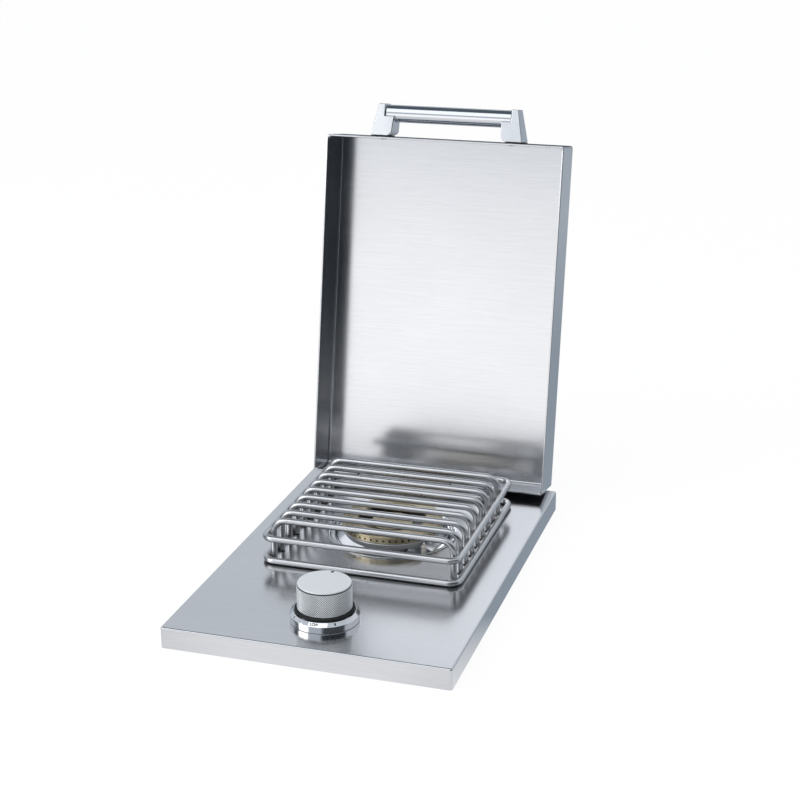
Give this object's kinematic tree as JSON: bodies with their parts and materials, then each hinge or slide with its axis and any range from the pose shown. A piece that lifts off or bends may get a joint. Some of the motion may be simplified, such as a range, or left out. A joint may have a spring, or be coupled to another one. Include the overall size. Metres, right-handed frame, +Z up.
{
  "type": "side burner",
  "caption": "Drop-in gas side burner with a folded steel plate, round burner in a drip bowl, lift-off wire grate, push-and-turn knob in a bezel, and a hinged tray lid with a bar handle.",
  "frame": {"origin": "centre of the underside of the housing floor", "axes": "+X to the right, +Y to the back where the lid hinges, +Z up"},
  "size_m": [0.3, 0.5425, 0.5485],
  "materials": {
    "brushed_steel": "brushed, fine straight grain",
    "polished_steel": "polished",
    "chrome": "bright",
    "zinc_steel": "zinc-plated, dull",
    "brass": "satin, slightly dark",
    "aluminium": "satin",
    "pale_aluminium": "bead-blasted, pale",
    "black_rubber": "dull",
    "black_plastic": "matte",
    "white_ceramic": "glazed",
    "white_sleeve": "silicone sleeve"
  },
  "bodies": {
    "base": {"top_plate": "brushed_steel", "drip_bowl": "polished_steel", "housing_pan": "zinc_steel", "burner_bracket": "zinc_steel", "burner_pot": "aluminium", "mixing_tube": "zinc_steel", "air_shutter": "zinc_steel", "flame_ring": "brass", "centre_cap": "brass", "electrode_insulator": "white_ceramic", "electrode_wire": "chrome", "gas_valve_body": "brass", "valve_bonnet": "brass", "valve_bracket": "zinc_steel", "jet_nozzle": "brass", "gas_feed_pipe": "brass", "valve_pipe_nut": "brass", "inlet_pipe_nut": "brass", "inlet_fitting": "brass", "inlet_locknut": "brass", "igniter_module": "black_plastic", "ignition_lead": "white_sleeve", "bezel_ring": "chrome", "grate_lower_frame": "polished_steel", "grate_upper_frame": "polished_steel", "grate_rod_1": "polished_steel", "grate_rod_2": "polished_steel", "grate_rod_3": "polished_steel", "grate_rod_4": "polished_steel", "grate_rod_5": "polished_steel", "grate_rod_6": "polished_steel", "grate_rod_7": "polished_steel", "grate_rod_8": "polished_steel", "grate_rod_9": "polished_steel", "plate_hinge_leaf_left": "polished_steel", "plate_hinge_leaf_right": "polished_steel", "hinge_pin_left": "chrome", "hinge_pin_right": "chrome", "lid_stop_pad_left": "black_rubber", "lid_stop_pad_right": "black_rubber"},
    "lid": {"lid_shell": "brushed_steel", "lid_hinge_leaf_left": "polished_steel", "lid_hinge_leaf_right": "polished_steel", "handle_bracket_left": "pale_aluminium", "handle_bracket_right": "pale_aluminium", "handle_bar": "polished_steel", "handle_pad_left": "black_rubber", "handle_pad_right": "black_rubber"},
    "valve_plug": {"valve_plug": "brass", "stem_spring": "chrome"},
    "knob": {"valve_stem": "chrome", "knob_body": "aluminium", "knob_cap": "pale_aluminium", "knob_skirt": "black_rubber", "knob_pointer": "black_plastic"}
  },
  "joints": [
    {"name": "lid_hinge", "type": "hinge", "parent": "base", "child": "lid", "pos_m": [0, 0.19805, 0.1168], "axis": [1, 0, 0], "range_deg": [0, 99.7]},
    {"name": "knob_turn", "type": "hinge", "parent": "base", "child": "valve_plug", "pos_m": [0, -0.16425, 0.11], "axis": [0, 0, 1], "range_deg": [0, 180]},
    {"name": "knob_push", "type": "slide", "parent": "valve_plug", "child": "knob", "axis": [0, 0, -1], "range_m": [0, 0.003], "stiffness_N_per_m": 1500, "springref_m": -0.004, "deforming": ["stem_spring"]}
  ]
}
